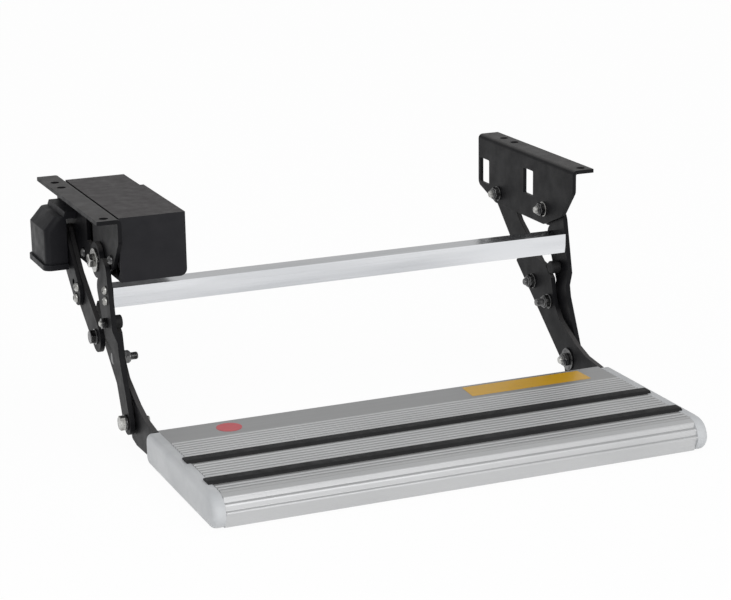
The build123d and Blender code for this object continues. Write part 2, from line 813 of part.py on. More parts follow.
with BuildPart() as motor_cover:
    # wide front part, then the narrower rear part, each with a rounded lower edge
    motor_sections = [
        (motor_out, motor_cover_front, motor_cover_back - motor_step_back),
        (motor_out - motor_cover_step, motor_cover_back - motor_step_back, motor_cover_back),
    ]
    for inboard, front, back in motor_sections:
        with BuildSketch(Plane.XZ.offset(-back)) as section:
            with Locations((-plate_in, motor_cover_top)):
                Rectangle(inboard + plate_in, motor_cover_height, align=(Align.MIN, Align.MAX))
            fillet(section.vertices().group_by(Axis.X)[-1].sort_by(Axis.Y)[0], motor_cover_r)
        extrude(section.sketch, amount=back - front)
    # the hollow, open towards the bracket
    motor_step_y = motor_cover_back - motor_step_back - motor_cover_wall
    motor_hollows = [
        (motor_out, motor_cover_front + motor_cover_wall, motor_step_y),
        (motor_out - motor_cover_step, motor_step_y, motor_cover_back - motor_cover_wall),
    ]
    for inboard, front, back in motor_hollows:
        with BuildSketch(Plane.XZ.offset(-back)) as section:
            with Locations((-plate_in, motor_cover_top - motor_cover_wall)):
                Rectangle(
                    inboard + plate_in - motor_cover_wall,
                    motor_cover_height - 2 * motor_cover_wall,
                    align=(Align.MIN, Align.MAX),
                )
            inner_corner = section.vertices().group_by(Axis.X)[-1].sort_by(Axis.Y)[0]
            fillet(inner_corner, motor_cover_r - motor_cover_wall)
        extrude(section.sketch, amount=back - front, mode=Mode.SUBTRACT)
    # screw bosses: one below the floor of the cover, one in its front lower corner
    with BuildSketch(side_plane(-plate_in)) as boss_face:
        with Locations(motor_bolt_places[0]):
            Circle(boss_d / 2)
        with BuildSketch(mode=Mode.PRIVATE) as corner_boss:
            with Locations(
                motor_bolt_places[1],
                (motor_cover_front + boss_d / 2, motor_cover_bottom + boss_d / 2),
            ):
                Circle(boss_d / 2)
            make_hull()
        add(corner_boss.sketch)
    extrude(boss_face.sketch, amount=boss_length)
    with BuildSketch(side_plane(-plate_in)) as bolt_holes:
        with Locations(motor_bolt_places):
            Circle(motor_bolt_d / 2)
    extrude(bolt_holes.sketch, amount=boss_length, mode=Mode.SUBTRACT)
save(motor_cover, "motor_cover")

motor_bolt_head_d = 10.0
motor_bolt_head_h = 3.6

with BuildPart() as motor_mount_bolts:
    for place in motor_bolt_places:
        disc(-plate_out - motor_bolt_head_h, -plate_out, place, motor_bolt_head_d / 2)
        disc(-plate_out, -plate_in + boss_length, place, motor_bolt_d / 2)
save(motor_mount_bolts, "motor_mount_bolts")

motor_can_d = 42.0
motor_can_length = 108.0
motor_can_z = -33.0
motor_can_setback = 34.0     # plate to the can's axis
gearbox_length = 56.0
gearbox_width = 60.0
gearbox_height = 26.0
gearbox_back = motor_cover_back - 8.0
gearbox_top = motor_can_z + 2.0

with BuildPart() as gearmotor:
    with BuildSketch(Plane.XY.offset(gearbox_top)):
        with Locations((-plate_in, gearbox_back)):
            Rectangle(gearbox_width, gearbox_length, align=(Align.MIN, Align.MAX))
    extrude(amount=-gearbox_height)
    with BuildSketch(Plane.XZ.offset(-(gearbox_back - gearbox_length))):
        with Locations((-plate_in + motor_can_setback, motor_can_z)):
            Circle(motor_can_d / 2)
    extrude(amount=motor_can_length)
save(gearmotor, "gearmotor")

# The gear case stands clear of the crank and reaches the plate with its upper foot
case_gap = 1.0
case_width = 23.0
case_front = 65.0
case_length = 65.0
case_top = -28.0
case_height = 55.0
case_foot_top = -23.0
case_foot_height = 7.5
case_foot_lap = 8.0      # the foot runs this far onto the case
case_edge_r = 17.0
case_lip = 2.5
case_lip_height = 6.0
shaft_bore_depth = 12.0

case_in = -crank_out - case_gap
case_out = case_in - case_width
case_back = case_front + case_length

with BuildPart() as gear_case:
    with BuildSketch(Plane.XY.offset(case_top)):
        with Locations((case_in, case_front)):
            Rectangle(case_width, case_length, align=(Align.MAX, Align.MIN))
    extrude(amount=-case_height)
    outer_face = gear_case.faces().sort_by(Axis.X)[0]
    outer_edges = outer_face.edges().sort_by(Axis.Z)[1:]
    fillet(outer_edges, case_edge_r)
    with BuildSketch(Plane.XY.offset(case_top - case_height)):
        with Locations((case_in, case_front - case_lip)):
            Rectangle(case_width + case_lip, case_length + 2 * case_lip, align=(Align.MAX, Align.MIN))
        fillet(vertices().group_by(Axis.X)[0], case_edge_r + case_lip)
    extrude(amount=case_lip_height)
    with BuildSketch(Plane.XY.offset(case_foot_top)):
        with Locations((-plate_out, case_front)):
            foot_reach = -plate_out - case_in + case_foot_lap
            Rectangle(foot_reach, case_length, align=(Align.MAX, Align.MIN))
    extrude(amount=-case_foot_height)
    with BuildSketch(side_plane(case_in)):
        with Locations(rear_pivot):
            Circle(shaft_d / 2 + pivot_clearance)
    extrude(amount=-shaft_bore_depth, mode=Mode.SUBTRACT)
    with BuildSketch(side_plane(-plate_out)):
        with Locations(case_screw_places):
            Circle(case_screw_d / 2)
    extrude(amount=-(-plate_out - case_in), mode=Mode.SUBTRACT)
save(gear_case, "gear_case")

case_screw_head_d = 7.0
case_screw_head_h = 3.0

with BuildPart() as gear_case_screws:
    for place in case_screw_places:
        disc(-plate_in, -plate_in + case_screw_head_h, place, case_screw_head_d / 2)
        disc(case_in, -plate_in, place, case_screw_d / 2)
save(gear_case_screws, "gear_case_screws")

with BuildPart() as drive_shaft:
    disc(case_in - shaft_bore_depth + face_clearance, -plate_in, rear_pivot, shaft_d / 2)
save(drive_shaft, "drive_shaft")

with BuildPart() as shaft_bush:
    ring(-plate_out, -plate_in, rear_pivot, bush_d / 2, shaft_d / 2 + pivot_clearance)
save(shaft_bush, "shaft_bush")
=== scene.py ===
import json
import math

import bmesh
import bpy
from mathutils import Matrix, Vector


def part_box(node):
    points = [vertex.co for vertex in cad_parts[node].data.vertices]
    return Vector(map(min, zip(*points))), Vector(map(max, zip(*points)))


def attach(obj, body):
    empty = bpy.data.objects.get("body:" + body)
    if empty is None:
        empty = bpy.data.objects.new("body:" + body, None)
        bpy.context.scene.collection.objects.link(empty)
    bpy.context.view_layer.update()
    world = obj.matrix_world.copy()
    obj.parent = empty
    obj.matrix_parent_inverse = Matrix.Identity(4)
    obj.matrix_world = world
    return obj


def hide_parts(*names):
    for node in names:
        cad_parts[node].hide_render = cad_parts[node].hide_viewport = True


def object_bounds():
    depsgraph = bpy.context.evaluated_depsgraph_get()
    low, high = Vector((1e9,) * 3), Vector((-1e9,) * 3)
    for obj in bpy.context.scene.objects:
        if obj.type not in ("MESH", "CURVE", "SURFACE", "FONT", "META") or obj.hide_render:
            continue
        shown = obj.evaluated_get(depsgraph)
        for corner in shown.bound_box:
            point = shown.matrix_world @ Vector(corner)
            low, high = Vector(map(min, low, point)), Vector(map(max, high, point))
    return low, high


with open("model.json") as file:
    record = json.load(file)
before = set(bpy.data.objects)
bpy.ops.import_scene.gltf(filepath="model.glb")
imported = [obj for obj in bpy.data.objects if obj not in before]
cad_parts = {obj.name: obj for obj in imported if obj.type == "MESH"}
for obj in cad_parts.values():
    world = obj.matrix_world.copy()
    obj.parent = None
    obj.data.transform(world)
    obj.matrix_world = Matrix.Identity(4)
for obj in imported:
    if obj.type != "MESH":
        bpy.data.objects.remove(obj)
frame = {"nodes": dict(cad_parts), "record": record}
cadLow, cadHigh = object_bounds()
bodies = frame["record"]["behaviour"]["bodies"]
bodyOf = {node: body for body, nodes in bodies.items() for node in nodes}
slotOf = {part["node"]: part["material_slot"] for part in frame["record"]["subparts"]}
mm = 0.001
noseY = -355.5      # front of the tread, in mm
topZ = -192.0       # its top between the ribs
print("frame loaded:", len(frame["nodes"]), "nodes")


# Finishes: every pattern reads Object coordinates, in metres

def startMaterial(name, color, metallic, roughness):
    mat = bpy.data.materials.new(name)
    mat.use_nodes = True
    shader = mat.node_tree.nodes["Principled BSDF"]
    shader.inputs["Base Color"].default_value = (*color, 1.0)
    shader.inputs["Metallic"].default_value = metallic
    shader.inputs["Roughness"].default_value = roughness
    return mat, mat.node_tree, shader


def stretchedNoise(tree, scale, stretch=(1, 1, 1), detail=3.0):
    coords = tree.nodes.new("ShaderNodeTexCoord")
    mapping = tree.nodes.new("ShaderNodeMapping")
    mapping.inputs["Scale"].default_value = stretch
    noise = tree.nodes.new("ShaderNodeTexNoise")
    noise.inputs["Scale"].default_value = scale
    noise.inputs["Detail"].default_value = detail
    noise.inputs["Roughness"].default_value = 0.55
    tree.links.new(coords.outputs["Object"], mapping.inputs["Vector"])
    tree.links.new(mapping.outputs["Vector"], noise.inputs["Vector"])
    return noise.outputs["Fac"]


def coordinate(tree, space, axis):
    coords = tree.nodes.new("ShaderNodeTexCoord")
    parts = tree.nodes.new("ShaderNodeSeparateXYZ")
    tree.links.new(coords.outputs[space], parts.inputs[0])
    return parts.outputs[axis]


def valueRange(tree, source, low, high, fromLow=0.3, fromHigh=0.7):
    spread = tree.nodes.new("ShaderNodeMapRange")
    spread.inputs["From Min"].default_value = fromLow
    spread.inputs["From Max"].default_value = fromHigh
    spread.inputs["To Min"].default_value = low
    spread.inputs["To Max"].default_value = high
    tree.links.new(source, spread.inputs["Value"])
    return spread.outputs["Result"]


def product(tree, first, second):
    node = tree.nodes.new("ShaderNodeMath")
    node.operation = "MULTIPLY"
    for socket, value in zip(node.inputs, (first, second)):
        if isinstance(value, float):
            socket.default_value = value
        else:
            tree.links.new(value, socket)
    return node.outputs[0]


def colorMix(tree, factor, first, second):
    mix = tree.nodes.new("ShaderNodeMix")
    mix.data_type = "RGBA"
    for socket, color in ((6, first), (7, second)):
        if isinstance(color, tuple):
            mix.inputs[socket].default_value = (*color, 1.0)
        else:
            tree.links.new(color, mix.inputs[socket])
    tree.links.new(factor, mix.inputs["Factor"])
    return mix.outputs[2]


def mottled(tree, first, second, noise, edges=(0.3, 0.7), amount=1.0):
    return colorMix(tree, valueRange(tree, noise, 0.0, amount, *edges), first, second)


# Painted top light: faces that turn upwards are mixed towards a lighter colour, standing in for light falling
# from above.
def upwardPaintedLight(tree, color, paintedTopLight):
    facing = coordinate(tree, "Normal", "Z")      # the piece's own normal, so the painted top light turns with it
    start, full = 0.6, 0.95
    return colorMix(tree, valueRange(tree, facing, 0.0, 1.0, start, full), color, paintedTopLight)


def unevenGloss(tree, shader, noise, roughness):
    tree.links.new(valueRange(tree, noise, *roughness), shader.inputs["Roughness"])


def addBump(tree, shader, height, strength, distance):
    bump = tree.nodes.new("ShaderNodeBump")
    bump.inputs["Strength"].default_value = strength
    bump.inputs["Distance"].default_value = distance
    tree.links.new(height, bump.inputs["Height"])
    tree.links.new(bump.outputs["Normal"], shader.inputs["Normal"])


def powderCoat():
    look = {"base": (0.0038, 0.0038, 0.005), "dusty": (0.009, 0.0087, 0.01), "top": (0.06, 0.058, 0.058),
            "shine": 0.13, "patchScale": 22, "patchEdges": (0.42, 0.72), "glossScale": 60,
            "gloss": (0.4, 0.54), "grainScale": 1500, "grainDepth": 0.00012}
    mat, tree, shader = startMaterial("powderCoat", look["base"], 0.0, 0.46)
    shader.inputs["Specular IOR Level"].default_value = look["shine"]
    patches = stretchedNoise(tree, look["patchScale"])
    color = mottled(tree, look["base"], look["dusty"], patches, look["patchEdges"])
    # Upward faces take the lighter top colour: painted top light.
    tree.links.new(upwardPaintedLight(tree, color, look["top"]), shader.inputs["Base Color"])
    unevenGloss(tree, shader, stretchedNoise(tree, look["glossScale"]), look["gloss"])
    addBump(tree, shader, stretchedNoise(tree, look["grainScale"], detail=1.5), 0.35, look["grainDepth"])
    return mat


def anodised():
    look = {"light": (0.6, 0.605, 0.61), "dark": (0.5, 0.505, 0.51), "groove": (0.3, 0.3, 0.3),
            "cloudScale": 9, "cloudEdges": (0.35, 0.7), "cloudAmount": 0.8, "drawnScale": 900,
            "drawnDepth": 0.00005, "gloss": (0.32, 0.46), "grooveShade": 0.62,
            "ribTops": (0.25, 0.7), "grooves": (-0.8, -0.3)}      # heights above the tread's top, in mm
    mat, tree, shader = startMaterial("anodised", look["light"], 0.72, 0.38)
    drawn = stretchedNoise(tree, look["drawnScale"], (0.01, 1, 1), 2.0)
    clouds = stretchedNoise(tree, look["cloudScale"], (0.4, 1, 1), 4.0)
    metal = mottled(tree, look["light"], look["dark"], clouds, look["cloudEdges"], look["cloudAmount"])
    # Painted shade: the flat tread top between the ribs, the plain rear band at that height included, is
    # darkened towards a grey.
    height = coordinate(tree, "Object", "Z")
    underTops = valueRange(tree, height, 1.0, 0.0, *[(topZ + rise) * mm for rise in look["ribTops"]])
    overFloor = valueRange(tree, height, 0.0, 1.0, *[(topZ + rise) * mm for rise in look["grooves"]])
    grooveShade = product(tree, product(tree, underTops, overFloor), look["grooveShade"])      # painted shade on the flat top between the ribs; rib tops stay bright
    tree.links.new(colorMix(tree, grooveShade, metal, look["groove"]), shader.inputs["Base Color"])
    unevenGloss(tree, shader, drawn, look["gloss"])
    addBump(tree, shader, drawn, 0.25, look["drawnDepth"])
    return mat


def brightAluminium():
    look = {"light": (0.79, 0.8, 0.82), "dark": (0.56, 0.575, 0.6), "cloudScale": 40, "cloudAmount": 0.7,
            "drawnScale": 700, "drawnDepth": 0.00003, "gloss": (0.14, 0.26)}
    mat, tree, shader = startMaterial("brightAluminium", look["light"], 1.0, 0.2)
    drawn = stretchedNoise(tree, look["drawnScale"], (0.01, 1, 1), 2.0)
    clouds = stretchedNoise(tree, look["cloudScale"], (0.1, 1, 1))
    color = mottled(tree, look["light"], look["dark"], clouds, amount=look["cloudAmount"])
    tree.links.new(color, shader.inputs["Base Color"])
    unevenGloss(tree, shader, drawn, look["gloss"])
    addBump(tree, shader, drawn, 0.2, look["drawnDepth"])
    return mat


def zincPlate(name, light, dark):
    look = {"crystalScale": 160, "crystalEdges": (0.4, 0.66), "glossScale": 350, "gloss": (0.18, 0.36),
            "grainScale": 2200, "grainDepth": 0.00005}
    mat, tree, shader = startMaterial(name, light, 1.0, 0.26)
    crystals = stretchedNoise(tree, look["crystalScale"], detail=5.0)
    tree.links.new(mottled(tree, light, dark, crystals, look["crystalEdges"]), shader.inputs["Base Color"])
    unevenGloss(tree, shader, stretchedNoise(tree, look["glossScale"]), look["gloss"])
    addBump(tree, shader, stretchedNoise(tree, look["grainScale"]), 0.3, look["grainDepth"])
    return mat


def blackRubber():
    look = {"black": (0.0065, 0.0065, 0.007), "dusting": 1.9, "shine": 0.3, "patchScale": 45,
            "patchEdges": (0.4, 0.75), "glossScale": 120, "gloss": (0.52, 0.7),
            "grainScale": 1800, "grainDepth": 0.00012}
    mat, tree, shader = startMaterial("blackRubber", look["black"], 0.0, 0.6)
    shader.inputs["Specular IOR Level"].default_value = look["shine"]
    dusty = tuple(channel * look["dusting"] for channel in look["black"])
    patches = stretchedNoise(tree, look["patchScale"], (0.3, 1, 1), 4.0)
    color = mottled(tree, look["black"], dusty, patches, look["patchEdges"])
    tree.links.new(color, shader.inputs["Base Color"])
    unevenGloss(tree, shader, stretchedNoise(tree, look["glossScale"]), look["gloss"])
    addBump(tree, shader, stretchedNoise(tree, look["grainScale"], detail=1.0), 0.4, look["grainDepth"])
    return mat


def mouldedPlastic(name, color, shade, roughness, grain, shine=0.5, paintedTopLight=None):
    look = {"patchScale": 25, "patchEdges": (0.4, 0.72), "glossScale": 90, "smoother": 0.06,
            "rougher": 0.08, "grainDepth": 0.0001}
    mat, tree, shader = startMaterial(name, color, 0.0, roughness)
    shader.inputs["Specular IOR Level"].default_value = shine
    patches = stretchedNoise(tree, look["patchScale"], detail=4.0)
    mixed = mottled(tree, color, shade, patches, look["patchEdges"])
    # Given a colour, faces that turn upwards get painted top light.
    if paintedTopLight:
        mixed = upwardPaintedLight(tree, mixed, paintedTopLight)
    tree.links.new(mixed, shader.inputs["Base Color"])
    gloss = (roughness - look["smoother"], roughness + look["rougher"])
    unevenGloss(tree, shader, stretchedNoise(tree, look["glossScale"]), gloss)
    addBump(tree, shader, stretchedNoise(tree, grain, detail=1.0), 0.35, look["grainDepth"])
    return mat


def printedFilm(name, color, worn):
    look = {"wearScale": 140, "wearEdges": (0.5, 0.75), "wearAmount": 0.6, "coat": 0.12,
            "waveScale": 500, "waveDepth": 0.00006}
    mat, tree, shader = startMaterial(name, color, 0.0, 0.32)
    wear = stretchedNoise(tree, look["wearScale"], detail=6.0)
    film = mottled(tree, color, worn, wear, look["wearEdges"], look["wearAmount"])
    tree.links.new(film, shader.inputs["Base Color"])
    shader.inputs["Coat Weight"].default_value = look["coat"]
    addBump(tree, shader, stretchedNoise(tree, look["waveScale"]), 0.15, look["waveDepth"])
    return mat


finishes = {
    "powder_black": powderCoat(),
    "anodised": anodised(),
    "bright_aluminium": brightAluminium(),
    "zinc": zincPlate("zincPlate", (0.55, 0.55, 0.53), (0.22, 0.215, 0.205)),
    "rubber": blackRubber(),
    "cap_plastic": mouldedPlastic("capPlastic", (0.545, 0.557, 0.57), (0.465, 0.48, 0.495), 0.38, 1400),
    # The cover's upward faces take a lighter colour: painted top light.
    "cover_plastic": mouldedPlastic("coverPlastic", (0.0055, 0.0055, 0.008), (0.01, 0.0095, 0.012),
                                    0.48, 1100, shine=0.25, paintedTopLight=(0.038, 0.034, 0.035)),
    "case_plastic": mouldedPlastic("casePlastic", (0.0055, 0.0055, 0.0075), (0.009, 0.009, 0.0115),
                                   0.46, 1100, shine=0.17),
    "motor_metal": zincPlate("motorMetal", (0.4, 0.4, 0.39), (0.2, 0.2, 0.195)),
    "bush_bronze": mouldedPlastic("bushBronze", (0.4, 0.26, 0.12), (0.3, 0.2, 0.09), 0.4, 900),
    "dark_steel": zincPlate("darkSteel", (0.17, 0.17, 0.17), (0.04, 0.04, 0.042)),
    "label_yellow": printedFilm("labelYellow", (0.6, 0.33, 0.004), (0.5, 0.28, 0.03)),
    "label_red": printedFilm("labelRed", (0.53, 0.045, 0.06), (0.48, 0.08, 0.1)),
}
print("materials made:", len(finishes))


# What every piece uses: its place in the frame, its finish and its edges

dressedNodes = set()


def place(piece, body, material):
    piece.data.materials.clear()
    piece.data.materials.append(material)
    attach(piece, body)


def standFor(piece, node, finish=None):
    place(piece, bodyOf[node], finishes[finish or slotOf[node]])
    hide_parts(node)
    dressedNodes.add(node)


def meshPiece(name, bm, smoothAngle=35):
    mesh = bpy.data.meshes.new(name)
    bm.to_mesh(mesh)
    bm.free()
    mesh.shade_smooth()
    mesh.set_sharp_from_angle(angle=math.radians(smoothAngle))
    piece = bpy.data.objects.new(name, mesh)
    bpy.context.scene.collection.objects.link(piece)
    return piece


def mergedCopy(node):
    bm = bmesh.new()
    bm.from_mesh(frame["nodes"][node].data)
    bmesh.ops.remove_doubles(bm, verts=bm.verts, dist=1e-6)
    return bm


def joinShape(whole, shape):
    spare = bpy.data.meshes.new("spare")
    shape.to_mesh(spare)
    shape.free()
    before = set(whole.verts)
    whole.from_mesh(spare)
    bpy.data.meshes.remove(spare)
    return [vert for vert in whole.verts if vert not in before]


def block(low, high):
    bm = bmesh.new()
    bmesh.ops.create_cube(bm, size=1.0)
    bmesh.ops.scale(bm, verts=bm.verts, vec=high - low)
    bmesh.ops.translate(bm, verts=bm.verts, vec=(high + low) / 2)
    return bm


def pullOut(bm, faces, step):
    grown = bmesh.ops.extrude_face_region(bm, geom=faces)["geom"]
    fresh = [item for item in grown if isinstance(item, bmesh.types.BMVert)]
    bmesh.ops.translate(bm, verts=fresh, vec=step)


def roundEdges(bm, edges, width, segments):
    bmesh.ops.bevel(bm, geom=edges, offset=width, segments=segments, profile=0.5, affect="EDGES", material=-1)


def edgesAt(bm, axis, level):
    return [edge for edge in bm.edges if all(abs(vert.co[axis] - level) < 1e-6 for vert in edge.verts)]


def easeSharpEdges(piece, width, segments, angle):
    bevel = piece.modifiers.new("edges", "BEVEL")
    bevel.width = width * mm
    bevel.segments = segments
    bevel.limit_method = "ANGLE"
    bevel.angle_limit = math.radians(angle)
    return bevel


# Plates, arms, crossbar and cover: the frame's own shapes with their edges eased

easedLook = {"flatAngle": 0.6, "sharpAngle": 32, "segments": 2}
easedWidths = {
    "left_bracket": 0.5, "right_bracket": 0.5,
    "left_front_arm": 0.45, "right_front_arm": 0.45,
    "left_rear_arm": 0.45, "right_rear_arm": 0.45,
    "left_hanger": 0.45, "right_hanger": 0.45,
    "drive_crank": 0.4, "crossbar": 0.5,
    "motor_cover": 0.9,
    "stop_buffers": 1.0,
}


def easedCopy(node, width):
    bm = mergedCopy(node)
    bmesh.ops.dissolve_limit(bm, angle_limit=math.radians(easedLook["flatAngle"]), verts=bm.verts,
                             edges=bm.edges, use_dissolve_boundaries=False)
    piece = meshPiece(node + "_eased", bm, easedLook["sharpAngle"])
    bevel = easeSharpEdges(piece, width, easedLook["segments"], easedLook["sharpAngle"])
    bevel.miter_outer = "MITER_ARC"
    shading = piece.modifiers.new("shading", "WEIGHTED_NORMAL")
    shading.keep_sharp = True
    standFor(piece, node)


for node, width in easedWidths.items():
    easedCopy(node, width)
print("eased pieces:", len(easedWidths))


# Tread: a ribbed extrusion with a beaded nose, two rubber strips and moulded end caps.
# Its outlines are pairs of millimetres, back from the nose and up from the top.

treadLook = {"halfLength": 237.6, "depth": 198.6, "thick": 31.0, "grooveDepth": 1.6, "edge": 0.16,
             "ribFoot": 3.5, "ribTop": 2.2, "ribHeight": 0.9,
             "ribRows": [(22.5, 6.5, 2), (57.6, 6.4, 6), (117.0, 6.2, 7)],      # first rib, pitch, ribs
             "strips": [(36.0, 51.3), (95.9, 111.2)],
             "rearTop": 1.0, "rearRound": 2.0, "rearMiddle": 0.6}
noseLine = [(20.0, 0.0), (18.2, 0.0), (17.6, 0.75), (15.4, 0.55), (14.6, -0.45), (12.2, -1.2),
            (9.4, -2.35), (8.7, -1.95), (8.0, -2.25), (7.4, -3.0), (7.3, -4.0),
            (6.7, -7.2), (6.3, -7.5), (4.1, -7.7), (3.4, -8.15), (2.95, -9.0), (2.9, -10.1),
            (2.5, -13.5), (2.1, -13.85), (0.6, -14.2), (0.1, -14.9), (0.0, -16.0), (0.35, -16.5),
            (5.9, -29.3), (6.7, -30.5), (8.4, -31.0)]
capLook = {"inner": 237.7, "outer": 250.0, "round": 5.6, "innerRound": 0.25}
capLine = [(24.0, 0.25), (17.0, -0.1), (11.5, -1.4), (6.8, -4.0), (3.0, -8.0), (0.7, -12.6), (-0.2, -17.4),
           (0.9, -22.4), (3.6, -26.8), (7.6, -29.9), (12.5, -31.2), (190.5, -31.2), (195.4, -29.9),
           (198.2, -26.6), (199.0, -22.0), (199.0, -9.5), (198.1, -4.6), (195.6, -1.3), (191.0, 0.25)]
stripLook = {"shoulder": 0.8, "edge": 0.4}      # shoulder: share of the strip's height that is rounded


def extrudedSection(start, length, line):
    bm = bmesh.new()
    verts = [bm.verts.new((start * mm, (noseY + back) * mm, (topZ + up) * mm)) for back, up in line]
    bm.faces.new(verts)
    pullOut(bm, bm.faces[:], (length * mm, 0, 0))
    bmesh.ops.recalc_face_normals(bm, faces=bm.faces)
    return bm


def ribbedTop():
    half, wide, rise = treadLook["ribTop"] / 2, treadLook["ribFoot"] / 2, treadLook["ribHeight"]
    steps = []
    for first, pitch, count in treadLook["ribRows"]:
        for middle in [first + pitch * row for row in range(count)]:
            steps.append([(middle - wide, 0), (middle - half, rise),
                          (middle + half, rise), (middle + wide, 0)])
    for start, end in treadLook["strips"]:
        low = -treadLook["grooveDepth"]
        steps.append([(start, 0), (start, low), (end, low), (end, 0)])
    return [point for step in sorted(steps) for point in step]


def treadPiece():
    back, thick, top = treadLook["depth"], treadLook["thick"], treadLook["rearTop"]
    rounding, middle = treadLook["rearRound"], treadLook["rearMiddle"]
    rear = [(back - top, 0), (back, -top), (back, rounding - thick), (back - middle, middle - thick),
            (back - rounding, -thick)]
    line = ribbedTop() + rear + noseLine[::-1]
    bm = extrudedSection(-treadLook["halfLength"], 2 * treadLook["halfLength"], line)
    piece = meshPiece("tread_profile_drawn", bm, 28)
    easeSharpEdges(piece, treadLook["edge"], 2, 30)
    standFor(piece, "tread_profile")


def gripStrip(node):
    low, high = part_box(node)
    bm = block(low, high)
    shoulders = [edge for edge in edgesAt(bm, 2, high.z)
                 if abs(edge.verts[0].co.y - edge.verts[1].co.y) < 1e-6]
    roundEdges(bm, shoulders, (high.z - low.z) * stripLook["shoulder"], 8)
    bmesh.ops.recalc_face_normals(bm, faces=bm.faces)
    piece = meshPiece(node + "_moulded", bm, 40)
    easeSharpEdges(piece, stripLook["edge"], 2, 50)
    standFor(piece, node)


def capPiece(node, side):
    inner, outer = side * capLook["inner"], side * capLook["outer"]
    bm = extrudedSection(inner, outer - inner, capLine)
    roundEdges(bm, edgesAt(bm, 0, outer * mm), capLook["round"] * mm, 7)
    roundEdges(bm, edgesAt(bm, 0, inner * mm), capLook["innerRound"] * mm, 2)
    bmesh.ops.recalc_face_normals(bm, faces=bm.faces)
    standFor(meshPiece(node + "_moulded", bm, 40), node)


treadPiece()
gripStrip("front_grip_strip")
gripStrip("rear_grip_strip")
capPiece("left_end_cap", -1)
capPiece("right_end_cap", 1)
print("tread, strips and caps made")


# Gear case: a rounded housing on a lipped base, hung from the plate by a short foot

caseLow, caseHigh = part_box("gear_case")
caseLook = {"lip": 2.5, "lipHeight": 6.0, "bedding": 0.5, "inner": 25.5, "topDrop": 5.0, "topCut": 13.5,
            "cutRun": 0.9, "footHeight": 7.5, "flareFoot": 2.5, "flareTop": 0.8, "sideRound": 6.0,
            "roundSteps": 6, "baseSegments": 8, "edge": 1.0}


# Places along the case, each with how far its outer side stands in there
def caseStations():
    lip, rounding = caseLook["lip"] * mm, caseLook["sideRound"] * mm
    turns = [math.pi / 2 * step / caseLook["roundSteps"] for step in range(caseLook["roundSteps"] + 1)]
    corner = [(rounding * (1 - math.cos(turn)), rounding * (1 - math.sin(turn))) for turn in turns]
    front = [(caseLow.y + lip + along, inset) for along, inset in corner]
    rear = [(caseHigh.y - lip - along, inset) for along, inset in corner[::-1]]
    return front + rear


def caseSection(inset):
    side, inner = caseLow.x + caseLook["lip"] * mm, caseLow.x + caseLook["inner"] * mm
    top, foot = caseHigh.z - caseLook["topDrop"] * mm, caseHigh.z - caseLook["footHeight"] * mm
    foundation = caseLow.z + caseLook["bedding"] * mm
    cut, run = caseLook["topCut"] * mm, caseLook["cutRun"]
    steep = math.hypot(1, run)      # keeps the sloping cut square to the rounded corners
    return [(side + inset, foundation), (side + inset, top - cut - inset * (steep - 1) / run),
            (side + run * cut + steep * inset, top), (inner - caseLook["flareFoot"] * mm, top),
            (inner - caseLook["flareTop"] * mm, caseHigh.z), (caseHigh.x, caseHigh.z), (caseHigh.x, foot),
            (inner, foot), (inner, foundation)]


def caseBody():
    bm = bmesh.new()
    loops = []
    for y, inset in caseStations():
        ring = [bm.verts.new((x, y, z)) for x, z in caseSection(inset)]
        loops.append([bm.edges.new(pair) for pair in zip(ring, ring[1:] + ring[:1])])
    for first, second in zip(loops, loops[1:]):
        bmesh.ops.bridge_loops(bm, edges=first + second)
    for rim in (loops[0], loops[-1]):
        bmesh.ops.edgeloop_fill(bm, edges=rim)
    bmesh.ops.recalc_face_normals(bm, faces=bm.faces)
    return bm


def caseBase():
    high = Vector((caseLow.x + caseLook["inner"] * mm, caseHigh.y, caseLow.z + caseLook["lipHeight"] * mm))
    bm = block(caseLow, high)
    outer = [edge for edge in edgesAt(bm, 0, caseLow.x)
             if abs(edge.verts[0].co.z - edge.verts[1].co.z) > 1e-6]
    roundEdges(bm, outer, (caseLook["sideRound"] + caseLook["lip"]) * mm, caseLook["baseSegments"])
    return bm


def gearCase():
    whole = caseBody()
    joinShape(whole, caseBase())
    piece = meshPiece("gear_case_moulded", whole, 32)
    easeSharpEdges(piece, caseLook["edge"], 3, 36)
    standFor(piece, "gear_case", "case_plastic")


gearCase()
print("gear case made")


# Fasteners: chamfered hexagons, lock nuts with collars, rolled washers and threaded ends.
# Each is drawn outwards along X for the right side and turned round for the left one.

def islandsOf(node):
    bm = mergedCopy(node)
    left = set(bm.verts)
    found = []
    while left:
        reach = [left.pop()]
        corners = []
        while reach:
            vert = reach.pop()
            corners.append(vert.co.copy() / mm)
            fresh = {edge.other_vert(vert) for edge in vert.link_edges} & left
            left -= fresh
            reach.extend(fresh)
        low = [min(co[i] for co in corners) for i in range(3)]
        high = [max(co[i] for co in corners) for i in range(3)]
        side = 1 if low[0] > 0 else -1
        ends = sorted((abs(low[0]), abs(high[0])))
        found.append({"side": side, "y": (low[1] + high[1]) / 2, "z": (low[2] + high[2]) / 2,
                      "near": ends[0], "far": ends[1], "r": (high[1] - low[1]) / 2})
    bm.free()
    return sorted(found, key=lambda item: (item["side"], item["y"], item["z"], item["near"]))


def turned(profile, closed=False, steps=40):
    bm = bmesh.new()
    verts = [bm.verts.new((x * mm, 0, r * mm)) for x, r in profile]
    edges = [bm.edges.new(pair) for pair in zip(verts, verts[1:])]
    if closed:
        edges.append(bm.edges.new((verts[-1], verts[0])))
    bmesh.ops.spin(bm, geom=verts + edges, cent=(0, 0, 0), axis=(1, 0, 0), angle=math.tau, steps=steps,
                   use_merge=True)
    bmesh.ops.remove_doubles(bm, verts=bm.verts, dist=1e-7)
    bmesh.ops.recalc_face_normals(bm, faces=bm.faces)
    return bm


hexLook = {"chamferAngle": 30, "chamferCuts": 24, "flat": 0.96}      # flat: share left on the end


